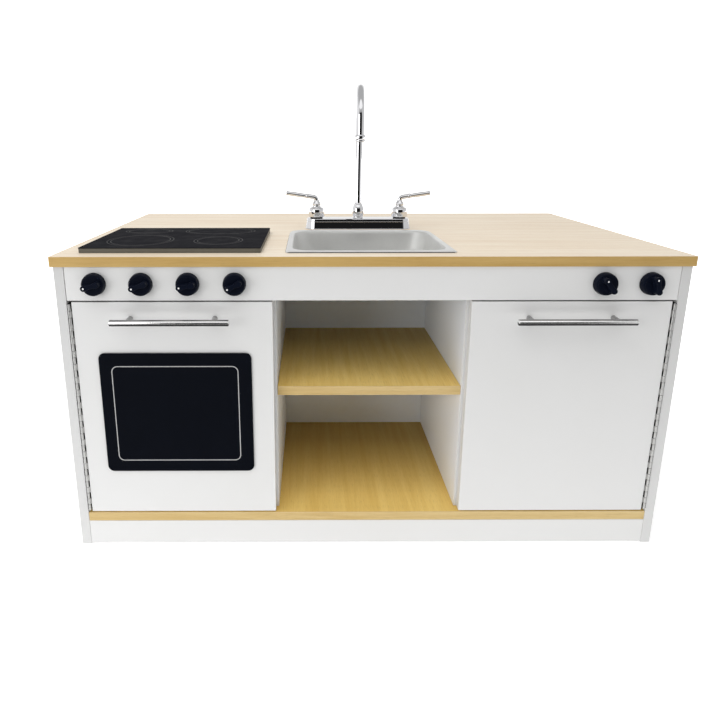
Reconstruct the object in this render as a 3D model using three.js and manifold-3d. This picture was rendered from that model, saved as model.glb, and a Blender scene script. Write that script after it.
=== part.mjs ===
// Play kitchen island: a cabinet with a hob, a sink and tap, an oven door, a cupboard door and an
// open middle bay. Units are millimetres. +X is right, +Y is the back and +Z is up. The origin is on
// the floor under the middle of the overall box, handles included.

import * as THREE from 'three';
import { mergeVertices } from 'three/addons/utils/BufferGeometryUtils.js';
import Module from 'manifold-3d';

const wasm = await Module();
wasm.setup();

// ---- Driving dimensions ----

const WIDTH = 1200; // worktop, side to side
const DEPTH = 660; // worktop, front to back
const HEIGHT = 612; // floor to the worktop's upper face
const BOARD = 19; // thickness of every board
const FIT = 0.3; // gap between pieces that touch

const SIDE_OVERHANG = 6;
const FRONT_OVERHANG = 3;
const REAR_OVERHANG = 6;
const WORKTOP_CORNER = 3; // corner radius in plan

const FLOOR_GAP = 3; // under the plinth
const BASE_TOP = 74; // floor to the bottom board's upper face
const SHELF_TOP = 345; // floor to the bay shelf's upper face
const PANEL_LOW = HEIGHT - 84.5; // control panel's lower edge
const BAY_HALF = 182.7; // half of the open bay's width
const BACK_FACE = 387; // worktop's front edge to the back panel

const DOOR_INNER = 188; // centre line to each door's free edge
const DOOR_OUTER = 566.5; // centre line to each door's hinged edge
const DOOR_TOP = PANEL_LOW - 2.5;
const DOOR_LOW = BASE_TOP + 3;
const DOOR_HOLE = 2.3; // radius of the handle screws' holes

const WINDOW_WIDTH = 294;
const WINDOW_LOW = 171.5;
const WINDOW_TOP = 424.5;
const WINDOW_CORNER = 13;
const WINDOW_THICKNESS = 3;

const HANDLE_CENTRES = 160;
const HANDLE_LENGTH = 220;
const HANDLE_REACH = 35; // door face to the bar's front
const HANDLE_DROP = 32; // door's top edge to the bar
const BAR_RADIUS = 6;
const POST_RADIUS = 4.5;
const SCREW_RADIUS = 1.8;

const HINGE_BARREL = 25.9; // length of one barrel with its gap
const HINGE_BARRELS = 17;
const HINGE_RADIUS = 3.3;
const HINGE_BORE = 1.55;
const HINGE_PIN = 1.2;
const HINGE_LEAF = 17; // pin to the leaf's far edge
const HINGE_SHEET = 1;
const HINGE_GAP = 0.3; // at each end of a barrel
const HINGE_PROUD = 0.5; // pin's axis in front of the door face

const STRIKE = { width: 13, height: 36, thick: 1.5 };
const CATCH = { width: 15, height: 40, depth: 15, drop: 28 }; // drop is from the door's top edge

const KNOB_DROP = 51.5; // worktop's upper face to the knobs' centres
const KNOB_PITCH = 87;
const KNOB_OUTER = 519; // centre line to the outermost knobs
const KNOB_RADIUS = 21.8;
const KNOB_SKIRT = 13; // height of the round skirt
const KNOB_HEIGHT = 27; // height of the grip
const KNOB_STANDOFF = 1;
const KNOB_BORE = 9.5; // depth of the hole for the spindle
const SPINDLE_RADIUS = 3;

const HOB = { left: 559, right: 211, front: 36.5, back: 295.5, thick: 10, corner: 4 };

const SINK = { half: 165, front: 35, back: 318, rise: 2.5, sheet: 2 };
const SINK_CORNER = { front: 8, back: 36 }; // corner radii of the rim
const BOWL = { half: 153.5, front: 54, back: 298, corner: 36, floor: 80 };
const SINK_CUTOUT = { half: 158.5, front: 49, back: 303, corner: 30 };
const DRAIN_HOLE = 44;
const DRAIN_SEAT = 58;

const TAP_CENTRES = 203.2;
const TAP_BACK = 363; // worktop's front edge to the tap's centre line
const DECK_BOSS = 28.4; // radius of the deck plate's round ends
const DECK_HEIGHT = 25;
const DECK_WALL = 3;
const DECK_FOOT = 1.5; // upright edge at the deck plate's foot
const SHANK_RADIUS = 10;
const SPOUT_RADIUS = 8;
const SPOUT_BEND = 70; // radius of the gooseneck's centre line
const SPOUT_TOP = 331; // worktop's upper face to the top of the gooseneck
const SPOUT_END = 206; // worktop's upper face to the aerator's lower rim
const SPOUT_TURN = THREE.MathUtils.degToRad(-4);
const AERATOR_HEIGHT = 15;

// ---- Places worked out from them ----

const HANDLE_FRONT = HANDLE_REACH - FRONT_OVERHANG; // bar's front, ahead of the worktop
const FRONT = -(DEPTH - HANDLE_FRONT) / 2; // worktop's front edge
const FACE = FRONT + FRONT_OVERHANG; // front faces of the doors and the panels
const BACK = FRONT + DEPTH;
const SIDE_OUT = WIDTH / 2 - SIDE_OVERHANG;
const SIDE_IN = SIDE_OUT - BOARD;
const UNDERSIDE = HEIGHT - BOARD;
const BACK_PANEL = FRONT + BACK_FACE;
const DIVIDER_FRONT = FACE + BOARD + 0.5;
const DOOR_MIDDLE = (DOOR_INNER + DOOR_OUTER) / 2;
const DOOR_HALF = (DOOR_OUTER - DOOR_INNER) / 2;
const HANDLE_Z = DOOR_TOP - HANDLE_DROP;
const HINGE_X = (DOOR_OUTER + SIDE_IN) / 2;
const HINGE_Y = FACE - HINGE_PROUD;
const HINGE_LENGTH = HINGE_BARREL * HINGE_BARRELS;
const HINGE_LOW = (DOOR_TOP + DOOR_LOW - HINGE_LENGTH) / 2;
const KNOB_Z = HEIGHT - KNOB_DROP;
const RIM_TOP = HEIGHT + SINK.rise;
const BOWL_FLOOR = HEIGHT - BOWL.floor;
const BOWL_Y = FRONT + (BOWL.front + BOWL.back) / 2;
const TAP_Y = FRONT + TAP_BACK;
const DECK_LOW = HEIGHT + FIT;
const DECK_TOP = DECK_LOW + DECK_HEIGHT;

// ---- Materials ----

const finish = (color, roughness, metalness) =>
  new THREE.MeshStandardMaterial({ color, roughness, metalness });

const OAK = finish(0xdcb97e, 0.5, 0);
const WHITE = finish(0xf0f0ee, 0.4, 0);
const BACKING = finish(0xd8d8d6, 0.6, 0);
const BLACK_GLOSS = finish(0x0b0e14, 0.12, 0);
const KNOB_BLACK = finish(0x14161a, 0.35, 0);
const STAINLESS = finish(0xc4c4c2, 0.32, 0.9);
const CHROME = finish(0xe6e8ea, 0.08, 1);
const ZINC = finish(0xb4b6b8, 0.4, 0.9);
const CATCH_WHITE = finish(0xe9e9e6, 0.5, 0);

// ---- Geometry helpers ----

const kitchen = new THREE.Group();

function add(name, geometry, material, parent = kitchen) {
  const mesh = new THREE.Mesh(geometry, material);
  mesh.name = name;
  parent.add(mesh);
  return mesh;
}

function group(x, y, z) {
  const holder = new THREE.Group();
  holder.position.set(x, y, z);
  kitchen.add(holder);
  return holder;
}

// A box from its lowest and highest corners.
function box(low, high) {
  const size = high.map((value, i) => value - low[i]);
  const middle = high.map((value, i) => (value + low[i]) / 2);
  return new THREE.BoxGeometry(...size).translate(...middle);
}

function roundedRect(left, right, low, high, radius, outline = new THREE.Shape()) {
  const quarter = Math.PI / 2;
  outline.absarc(right - radius, low + radius, radius, -quarter, 0);
  outline.absarc(right - radius, high - radius, radius, 0, quarter);
  outline.absarc(left + radius, high - radius, radius, quarter, 2 * quarter);
  outline.absarc(left + radius, low + radius, radius, 2 * quarter, 3 * quarter);
  outline.closePath();
  return outline;
}

function rectangle(left, right, low, high) {
  const corners = [[left, low], [right, low], [right, high], [left, high]];
  return new THREE.Shape(corners.map(([x, y]) => new THREE.Vector2(x, y)));
}

function roundHole(x, y, radius) {
  return new THREE.Path().absarc(x, y, radius, 0, 2 * Math.PI);
}

function extrude(shape, depth, curveSegments = 5) {
  return new THREE.ExtrudeGeometry(shape, { depth, bevelEnabled: false, curveSegments });
}

// A plate whose outline is drawn in X and Z, from the front face at y back through depth.
function upright(shape, y, depth, curveSegments) {
  return extrude(shape, depth, curveSegments).rotateX(Math.PI / 2).translate(0, y + depth, 0);
}

// A turned piece about Z. The profile holds [radius, height] pairs, with the outer side rising.
function turned(profile, segments) {
  const points = profile.map(([radius, height]) => new THREE.Vector2(radius, height));
  return new THREE.LatheGeometry(points, segments).rotateX(Math.PI / 2);
}

function rod(radius, low, high, segments) {
  return turned([[0, low], [radius, low], [radius, high], [0, high]], segments);
}

function solid(geometry) {
  geometry.deleteAttribute('normal');
  geometry.deleteAttribute('uv');
  const merged = mergeVertices(geometry, 1e-3);
  const index = merged.index.array;
  const triangles = [];
  for (let i = 0; i < index.length; i += 3) {
    const [a, b, c] = [index[i], index[i + 1], index[i + 2]];
    if (a !== b && b !== c && c !== a) triangles.push(a, b, c);
  }
  return new wasm.Manifold(new wasm.Mesh({
    numProp: 3,
    vertProperties: new Float32Array(merged.attributes.position.array),
    triVerts: new Uint32Array(triangles),
  }));
}

function surface(manifold) {
  const { vertProperties, triVerts } = manifold.getMesh();
  const geometry = new THREE.BufferGeometry();
  geometry.setAttribute('position', new THREE.BufferAttribute(vertProperties, 3));
  geometry.setIndex(new THREE.BufferAttribute(triVerts, 1));
  geometry.computeVertexNormals();
  return geometry;
}

const joined = (first, ...rest) =>
  surface(rest.reduce((sum, piece) => sum.add(solid(piece)), solid(first)));

const cut = (first, ...tools) =>
  surface(tools.reduce((left, tool) => left.subtract(solid(tool)), solid(first)));

// ---- Cabinet ----

function worktop() {
  const outline = roundedRect(-WIDTH / 2, WIDTH / 2, FRONT, BACK, WORKTOP_CORNER);
  const opening = [-SINK_CUTOUT.half, SINK_CUTOUT.half, FRONT + SINK_CUTOUT.front];
  outline.holes.push(
    roundedRect(...opening, FRONT + SINK_CUTOUT.back, SINK_CUTOUT.corner, new THREE.Path()),
    roundHole(-TAP_CENTRES / 2, TAP_Y, SHANK_RADIUS + 2),
    roundHole(TAP_CENTRES / 2, TAP_Y, SHANK_RADIUS + 2),
  );
  add('worktop', extrude(outline, BOARD, 3).translate(0, 0, UNDERSIDE), OAK);
}

function sidePanels() {
  for (const [side, sign] of [['left', -1], ['right', 1]]) {
    const [inner, outer] = [sign * SIDE_IN, sign * SIDE_OUT].sort((a, b) => a - b);
    const low = [inner, FACE, 0];
    const high = [outer, BACK - REAR_OVERHANG, UNDERSIDE - FIT];
    add(`side_panel_${side}`, box(low, high), WHITE);
  }
}

function dividers() {
  for (const [side, sign] of [['left', -1], ['right', 1]]) {
    const [inner, outer] = [sign * BAY_HALF, sign * (BAY_HALF + BOARD)].sort((a, b) => a - b);
    const low = [inner, DIVIDER_FRONT, BASE_TOP + FIT];
    const high = [outer, BACK_PANEL - FIT, UNDERSIDE - FIT];
    add(`divider_${side}`, box(low, high), WHITE);
  }
}

function innerBoards() {
  const half = SIDE_IN - FIT;
  const bay = BAY_HALF - FIT;
  const base = [[-half, FACE, BASE_TOP - BOARD], [half, BACK_PANEL - FIT, BASE_TOP]];
  const shelf = [[-bay, DIVIDER_FRONT, SHELF_TOP - BOARD], [bay, BACK_PANEL - FIT, SHELF_TOP]];
  const plinth = [[-half, FACE, FLOOR_GAP], [half, FACE + BOARD, BASE_TOP - BOARD - FIT]];
  const back = [[-half, BACK_PANEL, FLOOR_GAP], [half, BACK_PANEL + BOARD, UNDERSIDE - FIT]];
  add('bottom_panel', box(...base), OAK);
  add('bay_shelf', box(...shelf), OAK);
  add('plinth', box(...plinth), WHITE);
  add('back_panel', box(...back), BACKING);
}

// ---- Control panel, knobs and their spindles ----

// Each knob's centre and the angle that its dot points to, counted from +X towards +Z.
const KNOBS = [
  [-KNOB_OUTER, 195],
  [-KNOB_OUTER + KNOB_PITCH, 199],
  [-KNOB_OUTER + 2 * KNOB_PITCH, 190],
  [-KNOB_OUTER + 3 * KNOB_PITCH, 206],
  [KNOB_OUTER - KNOB_PITCH, 126],
  [KNOB_OUTER, 102],
];

function controlPanel() {
  const half = SIDE_IN - FIT;
  const outline = rectangle(-half, half, PANEL_LOW, UNDERSIDE - FIT);
  for (const [x] of KNOBS) outline.holes.push(roundHole(x, KNOB_Z, SPINDLE_RADIUS + 0.4));
  add('control_panel', upright(outline, FACE, BOARD, 5), WHITE);
}

// The grip is a bar with round ends and hollowed sides.
function knobGrip() {
  const end = 5;
  const reach = 11;
  const waist = 3.2;
  const outline = new THREE.Shape();
  outline.absarc(reach, 0, end, -Math.PI / 2, Math.PI / 2);
  outline.quadraticCurveTo(0, waist, -reach, end);
  outline.absarc(-reach, 0, end, Math.PI / 2, (3 * Math.PI) / 2);
  outline.quadraticCurveTo(0, -waist, reach, -end);
  const buried = KNOB_SKIRT - 3;
  return extrude(outline, KNOB_HEIGHT - buried, 3).translate(0, 0, buried);
}

function knobBody() {
  const bore = SPINDLE_RADIUS + 0.3;
  const skirt = turned([
    [0, KNOB_BORE],
    [bore, KNOB_BORE],
    [bore, 0],
    [KNOB_RADIUS - 0.6, 0],
    [KNOB_RADIUS, 1.5],
    [KNOB_RADIUS - 0.8, KNOB_SKIRT - 3],
    [KNOB_RADIUS - 3.5, KNOB_SKIRT],
    [0, KNOB_SKIRT],
  ], 20);
  return joined(skirt, knobGrip());
}

// A bolt through the panel: the knob turns on its front end, and its head is behind the panel.
function spindle() {
  const headStart = -BOARD - FIT;
  const tip = KNOB_STANDOFF + KNOB_BORE - 0.5;
  const head = SPINDLE_RADIUS * 2;
  return turned([
    [0, headStart - 4],
    [head, headStart - 4],
    [head, headStart],
    [SPINDLE_RADIUS, headStart],
    [SPINDLE_RADIUS, tip],
    [0, tip],
  ], 10);
}

function knobs() {
  KNOBS.forEach(([x, degrees], i) => {
    const seat = group(x, FACE, KNOB_Z);
    seat.rotation.x = Math.PI / 2;
    add(`knob_spindle_${i + 1}`, spindle(), ZINC, seat);
    const knob = add(`knob_${i + 1}`, knobBody(), KNOB_BLACK, seat);
    knob.position.z = KNOB_STANDOFF;
    knob.rotation.z = THREE.MathUtils.degToRad(degrees);
  });
}

// ---- Doors ----

function door(name, middle) {
  const outline = rectangle(middle - DOOR_HALF, middle + DOOR_HALF, DOOR_LOW, DOOR_TOP);
  for (const side of [-1, 1]) {
    outline.holes.push(roundHole(middle + (side * HANDLE_CENTRES) / 2, HANDLE_Z, DOOR_HOLE));
  }
  add(name, upright(outline, FACE, BOARD, 4), WHITE);
}

function ovenWindow() {
  const outline = roundedRect(
    -DOOR_MIDDLE - WINDOW_WIDTH / 2,
    -DOOR_MIDDLE + WINDOW_WIDTH / 2,
    WINDOW_LOW,
    WINDOW_TOP,
    WINDOW_CORNER,
  );
  const front = FACE - FIT - WINDOW_THICKNESS;
  add('oven_window', upright(outline, front, WINDOW_THICKNESS, 4), BLACK_GLOSS);
}

// A post stands on the door, is drilled for its screw and is hollowed to seat the bar.
function handlePost(barDistance) {
  const drilled = 14;
  const post = turned([
    [0, drilled],
    [SCREW_RADIUS + 0.3, drilled],
    [SCREW_RADIUS + 0.3, FIT],
    [POST_RADIUS, FIT],
    [POST_RADIUS, barDistance],
    [0, barDistance],
  ], 14);
  const bar = rod(BAR_RADIUS + FIT, -BAR_RADIUS * 2, BAR_RADIUS * 2, 16);
  return cut(post, bar.rotateY(Math.PI / 2).translate(0, 0, barDistance));
}

function handleScrew() {
  const headStart = -BOARD - FIT;
  const head = 4;
  return turned([
    [0, headStart - 2.4],
    [head, headStart - 2.4],
    [head, headStart],
    [SCREW_RADIUS, headStart],
    [SCREW_RADIUS, 12],
    [0, 12],
  ], 10);
}

function handle(owner, middle) {
  const seat = group(middle, FACE, HANDLE_Z);
  seat.rotation.x = Math.PI / 2;
  const barDistance = HANDLE_REACH - BAR_RADIUS;
  const half = HANDLE_LENGTH / 2;
  const bar = turned([
    [0, -half],
    [BAR_RADIUS - 0.8, -half],
    [BAR_RADIUS, -half + 0.8],
    [BAR_RADIUS, half - 0.8],
    [BAR_RADIUS - 0.8, half],
    [0, half],
  ], 16);
  add(`${owner}_handle_bar`, bar.rotateY(Math.PI / 2), STAINLESS, seat).position.z = barDistance;
  for (const [side, sign] of [['left', -1], ['right', 1]]) {
    const place = (sign * HANDLE_CENTRES) / 2;
    add(`${owner}_handle_post_${side}`, handlePost(barDistance), STAINLESS, seat).position.x = place;
    add(`${owner}_handle_screw_${side}`, handleScrew(), ZINC, seat).position.x = place;
  }
}

// One leaf of a piano hinge, beside the pin's axis at its low end. Its sheet is at x = offset, and
// it owns every second barrel from the first one given.
function hingeLeaf(offset, first) {
  const [near, far] = [offset, offset - Math.sign(offset) * HINGE_SHEET].sort((a, b) => a - b);
  const clear = HINGE_RADIUS + 0.9;
  let leaf = solid(box([near, clear, 0], [far, HINGE_LEAF, HINGE_LENGTH]));
  const ring = new THREE.Shape().absarc(0, 0, HINGE_RADIUS, 0, 2 * Math.PI);
  ring.holes.push(roundHole(0, 0, HINGE_BORE));
  for (let i = first; i < HINGE_BARRELS; i += 2) {
    const low = i * HINGE_BARREL + HINGE_GAP;
    const length = HINGE_BARREL - 2 * HINGE_GAP;
    const tab = solid(box([near, 0, low], [far, clear + 0.5, low + length]));
    const bore = solid(rod(HINGE_BORE, low - HINGE_GAP, low + length + HINGE_GAP, 8));
    const barrel = solid(extrude(ring, length, 4).translate(0, 0, low));
    leaf = leaf.add(tab.subtract(bore)).add(barrel);
  }
  return surface(leaf);
}

function pianoHinge(owner, sign) {
  const seat = group(sign * HINGE_X, HINGE_Y, HINGE_LOW);
  const reach = (SIDE_IN - DOOR_OUTER) / 2 - FIT;
  add(`${owner}_hinge_frame_leaf`, hingeLeaf(sign * reach, 0), ZINC, seat);
  add(`${owner}_hinge_door_leaf`, hingeLeaf(-sign * reach, 1), ZINC, seat);
  add(`${owner}_hinge_pin`, rod(HINGE_PIN, -0.5, HINGE_LENGTH + 0.5, 8), ZINC, seat);
}

// A magnetic catch on the divider, and the strike plate that it holds on the door's back.
function doorCatch(owner, sign) {
  const middle = DOOR_TOP - CATCH.drop;
  const wall = BAY_HALF + BOARD + FIT;
  const back = FACE + BOARD + FIT;
  const catchFront = back + STRIKE.thick + FIT;
  const across = (near, width) => [sign * near, sign * (near + width)].sort((a, b) => a - b);
  const [strikeLeft, strikeRight] = across(wall + 1, STRIKE.width);
  const [catchLeft, catchRight] = across(wall, CATCH.width);
  const strike = box(
    [strikeLeft, back, middle - STRIKE.height / 2],
    [strikeRight, back + STRIKE.thick, middle + STRIKE.height / 2],
  );
  const body = box(
    [catchLeft, catchFront, middle - CATCH.height / 2],
    [catchRight, catchFront + CATCH.depth, middle + CATCH.height / 2],
  );
  add(`${owner}_strike_plate`, strike, ZINC);
  add(`${owner}_magnetic_catch`, body, CATCH_WHITE);
}

function doors() {
  for (const [owner, sign] of [['oven', -1], ['cupboard', 1]]) {
    door(`${owner}_door`, sign * DOOR_MIDDLE);
    handle(owner, sign * DOOR_MIDDLE);
    pianoHinge(owner, sign);
    doorCatch(owner, sign);
  }
  ovenWindow();
}

// ---- Hob ----

function hob() {
  const outline = roundedRect(-HOB.left, -HOB.right, FRONT + HOB.front, FRONT + HOB.back, HOB.corner);
  add('hob_plate', extrude(outline, HOB.thick, 4).translate(0, 0, HEIGHT + FIT), BLACK_GLOSS);
}

// ---- Sink ----

const LOOP_CORNER_STEPS = 4;
const LOOP_POINTS = 4 * (LOOP_CORNER_STEPS + 1);

// Points around a rounded rectangle at height z. Its back and front corners have their own radii.
function loop(half, front, back, backRadius, frontRadius, z) {
  return Array.from({ length: LOOP_POINTS }, (_, i) => {
    const corner = Math.floor(i / (LOOP_CORNER_STEPS + 1));
    const step = (i % (LOOP_CORNER_STEPS + 1)) / LOOP_CORNER_STEPS;
    const angle = ((corner + step) * Math.PI) / 2;
    const radius = corner < 2 ? backRadius : frontRadius;
    const centreX = (corner === 0 || corner === 3 ? 1 : -1) * (half - radius);
    const centreY = corner < 2 ? back - radius : front + radius;
    const x = centreX + radius * Math.cos(angle);
    const y = centreY + radius * Math.sin(angle);
    return new THREE.Vector3(x, FRONT + y, z);
  });
}

// As many points around a circle under the middle of the bowl.
function circle(radius, z) {
  return Array.from({ length: LOOP_POINTS }, (_, i) => {
    const angle = ((i + 0.5) / LOOP_POINTS) * 2 * Math.PI;
    return new THREE.Vector3(radius * Math.cos(angle), BOWL_Y + radius * Math.sin(angle), z);
  });
}

// Joins each ring of points to the next, and the last to the first.
function ringLoft(loops) {
  const count = loops[0].length;
  const positions = loops.flat().flatMap((point) => point.toArray());
  const index = [];
  loops.forEach((_, row) => {
    const next = (row + 1) % loops.length;
    for (let i = 0; i < count; i += 1) {
      const j = (i + 1) % count;
      const [a, b, c, d] = [row * count + i, row * count + j, next * count + j, next * count + i];
      index.push(a, b, c, a, c, d);
    }
  });
  const geometry = new THREE.BufferGeometry();
  geometry.setAttribute('position', new THREE.Float32BufferAttribute(positions, 3));
  geometry.setIndex(index);
  return geometry;
}

// A ring of the bowl: inset from its opening, corner radius shrinking with it, at height z.
function bowlLoop(inset, corner, z) {
  return loop(BOWL.half - inset, BOWL.front + inset, BOWL.back - inset, corner, corner, z);
}

function sinkBowl() {
  const rim = (inset, z) => loop(
    SINK.half - inset,
    SINK.front + inset,
    SINK.back - inset,
    SINK_CORNER.back - inset,
    SINK_CORNER.front - inset,
    z,
  );
  const t = SINK.sheet;
  const bowl = ringLoft([
    rim(0, HEIGHT + FIT),
    rim(0.6, HEIGHT + 1.6),
    rim(2, RIM_TOP),
    bowlLoop(0, BOWL.corner, RIM_TOP),
    bowlLoop(1.6, BOWL.corner - 1, RIM_TOP - 1),
    bowlLoop(2.6, BOWL.corner - 1, RIM_TOP - 5),
    bowlLoop(9, BOWL.corner - 2, BOWL_FLOOR + 24),
    bowlLoop(12, BOWL.corner - 2, BOWL_FLOOR + 11),
    bowlLoop(19, BOWL.corner - 4, BOWL_FLOOR + 3.5),
    bowlLoop(32, BOWL.corner - 6, BOWL_FLOOR + 1),
    circle(DRAIN_SEAT, BOWL_FLOOR - 0.5),
    circle(DRAIN_HOLE, BOWL_FLOOR - 1),
    circle(DRAIN_HOLE, BOWL_FLOOR - 1 - t),
    circle(DRAIN_SEAT, BOWL_FLOOR - 0.5 - t),
    bowlLoop(31, BOWL.corner - 5, BOWL_FLOOR + 1 - t),
    bowlLoop(18, BOWL.corner - 3, BOWL_FLOOR + 3.2 - t),
    bowlLoop(10.4, BOWL.corner - 1, BOWL_FLOOR + 9.6),
    bowlLoop(7, BOWL.corner, BOWL_FLOOR + 23.4),
    bowlLoop(0.6, BOWL.corner + 1, RIM_TOP - 5),
    bowlLoop(-0.4, BOWL.corner + 1, RIM_TOP - t),
    rim(2.4, RIM_TOP - t),
    rim(1.6, HEIGHT + FIT),
  ]);
  add('sink_bowl', surface(solid(bowl)), STAINLESS);
}

function drain() {
  const seat = group(0, BOWL_Y, BOWL_FLOOR);
  const cupDepth = 26;
  const thread = DRAIN_HOLE - 1;
  const strainer = turned([
    [0, -cupDepth],
    [thread - 6, -cupDepth],
    [thread, -cupDepth + 6],
    [thread, FIT],
    [DRAIN_SEAT - 3, FIT],
    [DRAIN_SEAT - 3, 1],
    [DRAIN_SEAT - 5, 2],
    [thread - 2, 0.6],
    [thread - 3, -cupDepth + 8],
    [thread - 7, -cupDepth + 2],
    [0, -cupDepth + 2],
  ], 20);
  const holes = [rod(2.5, -cupDepth - 5, -cupDepth + 5, 6)];
  for (let i = 0; i < 8; i += 1) {
    const angle = (i * Math.PI) / 4;
    const place = [18 * Math.cos(angle), 18 * Math.sin(angle), 0];
    holes.push(rod(2.5, -cupDepth - 5, -cupDepth + 5, 6).translate(...place));
  }
  add('drain_strainer', cut(strainer, ...holes), STAINLESS, seat);
  const top = -1 - SINK.sheet - FIT;
  const nut = turned([
    [thread + 0.6, top - 9],
    [DRAIN_SEAT - 6, top - 9],
    [DRAIN_SEAT - 2, top],
    [thread + 0.6, top],
    [thread + 0.6, top - 9],
  ], 20);
  add('drain_nut', nut, ZINC, seat);
}

// ---- Tap ----

// The deck plate's side as [depth from the middle, height] pairs, from its foot to its top.
const deckSide = (inset, height) => [
  [DECK_BOSS - inset, 0],
  [DECK_BOSS - inset, DECK_FOOT],
  [DECK_BOSS - inset - 1.2, DECK_FOOT + 1],
  [DECK_BOSS - inset - 4.8, height - 2],
  [DECK_BOSS - inset - 6.8, height],
];

function deckPlate() {
  const half = TAP_CENTRES / 2;
  const end = (inset, height) => turned([[0, 0], ...deckSide(inset, height), [0, height]], 18);
  const bridge = (inset, height) => {
    const side = deckSide(inset, height);
    const far = side.map(([depth, z]) => [-depth, z]).reverse();
    const section = new THREE.Shape([...side, ...far].map((point) => new THREE.Vector2(...point)));
    // The section is drawn in Y and Z, and runs along X between the round ends.
    const bar = extrude(section, TAP_CENTRES, 3).translate(0, 0, -half);
    return bar.rotateX(Math.PI / 2).rotateZ(Math.PI / 2);
  };
  const top = DECK_HEIGHT;
  let plate = solid(bridge(0, top));
  for (const sign of [-1, 1]) plate = plate.add(solid(end(0, top).translate(sign * half, 0, 0)));
  let pocket = solid(bridge(DECK_WALL, top - DECK_WALL).translate(0, 0, -0.5));
  for (const sign of [-1, 1]) {
    const hollow = end(DECK_WALL, top - DECK_WALL).translate(sign * half, 0, -0.5);
    pocket = pocket.add(solid(hollow));
    const bore = rod(SHANK_RADIUS + 0.4, -1, top + 1, 14).translate(sign * half, 0, 0);
    pocket = pocket.add(solid(bore));
  }
  const plateMesh = add('tap_deck_plate', surface(plate.subtract(pocket)), CHROME);
  plateMesh.position.set(0, TAP_Y, DECK_LOW);
}

// Heights here are above the worktop.
function valve() {
  const flange = DECK_HEIGHT + 2 * FIT;
  return turned([
    [0, -36],
    [SHANK_RADIUS, -36],
    [SHANK_RADIUS, flange],
    [16, flange],
    [16, flange + 2.4],
    [9, flange + 2.4],
    [9, 42],
    [3.6, 42],
    [3.6, 54],
    [0, 54],
  ], 14);
}

function tapNut() {
  const top = -BOARD - FIT;
  const bore = SHANK_RADIUS + 0.4;
  return turned([
    [bore, top - 9],
    [14, top - 9],
    [14, top - 3],
    [19, top - 2],
    [19, top],
    [bore, top],
    [bore, top - 9],
  ], 12);
}

// A bell-shaped skirt, a collar, an elbow and a grip that points along +X and slightly up.
function leverHandle() {
  const skirt = turned([
    [0, 56],
    [3.9, 56],
    [3.9, 45],
    [14, 45],
    [16.5, 41],
    [16.8, 29],
    [18.8, 29],
    [19.2, 31],
    [19.2, 45],
    [17.6, 49],
    [13, 51.6],
    [10.6, 53],
    [10.6, 58],
    [11.4, 60],
    [11, 63],
    [8.4, 67],
    [7, 70],
    [0, 71],
  ], 16);
  const elbowStart = new THREE.Vector3(0, 0, 64);
  const elbowBend = new THREE.Vector3(0.5, 0, 76);
  const elbowEnd = new THREE.Vector3(23, 0, 78.8);
  const elbow = new THREE.ExtrudeGeometry(
    new THREE.Shape().absarc(0, 0, 5.6, 0, 2 * Math.PI),
    {
      steps: 6,
      curveSegments: 5,
      bevelEnabled: false,
      extrudePath: new THREE.QuadraticBezierCurve3(elbowStart, elbowBend, elbowEnd),
    },
  );
  const grip = turned([
    [0, -2],
    [5.4, -2],
    [6.4, -1],
    [6.4, 2],
    [5.2, 3],
    [5, 5],
    [5.6, 26],
    [5.2, 46],
    [5.7, 47.5],
    [4.9, 51.5],
    [2.7, 53],
    [0, 53.3],
  ], 12);
  const rise = THREE.MathUtils.degToRad(8);
  grip.rotateY(Math.PI / 2 - rise).translate(elbowEnd.x, 0, elbowEnd.z);
  return joined(skirt, elbow, grip);
}

function taps() {
  for (const [side, sign] of [['left', -1], ['right', 1]]) {
    const seat = group((sign * TAP_CENTRES) / 2, TAP_Y, HEIGHT);
    add(`tap_valve_${side}`, valve(), ZINC, seat);
    add(`tap_nut_${side}`, tapNut(), ZINC, seat);
    const lever = add(`tap_lever_${side}`, leverHandle(), CHROME, seat);
    lever.rotation.z = sign < 0 ? Math.PI : 0;
  }
}

// Up from the deck, over in a half circle and down towards the sink.
class Gooseneck extends THREE.Curve {
  constructor(low, bendHeight, radius, end) {
    super();
    this.low = low;
    this.bendHeight = bendHeight;
    this.radius = radius;
    this.end = end;
  }

  getPoint(t, target = new THREE.Vector3()) {
    const rise = this.bendHeight - this.low;
    const arc = Math.PI * this.radius;
    const along = t * (rise + arc + this.bendHeight - this.end);
    if (along <= rise) return target.set(0, 0, this.low + along);
    if (along >= rise + arc) {
      return target.set(0, -2 * this.radius, this.bendHeight - (along - rise - arc));
    }
    const angle = (along - rise) / this.radius;
    const y = -this.radius * (1 - Math.cos(angle));
    return target.set(0, y, this.bendHeight + this.radius * Math.sin(angle));
  }
}

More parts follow.
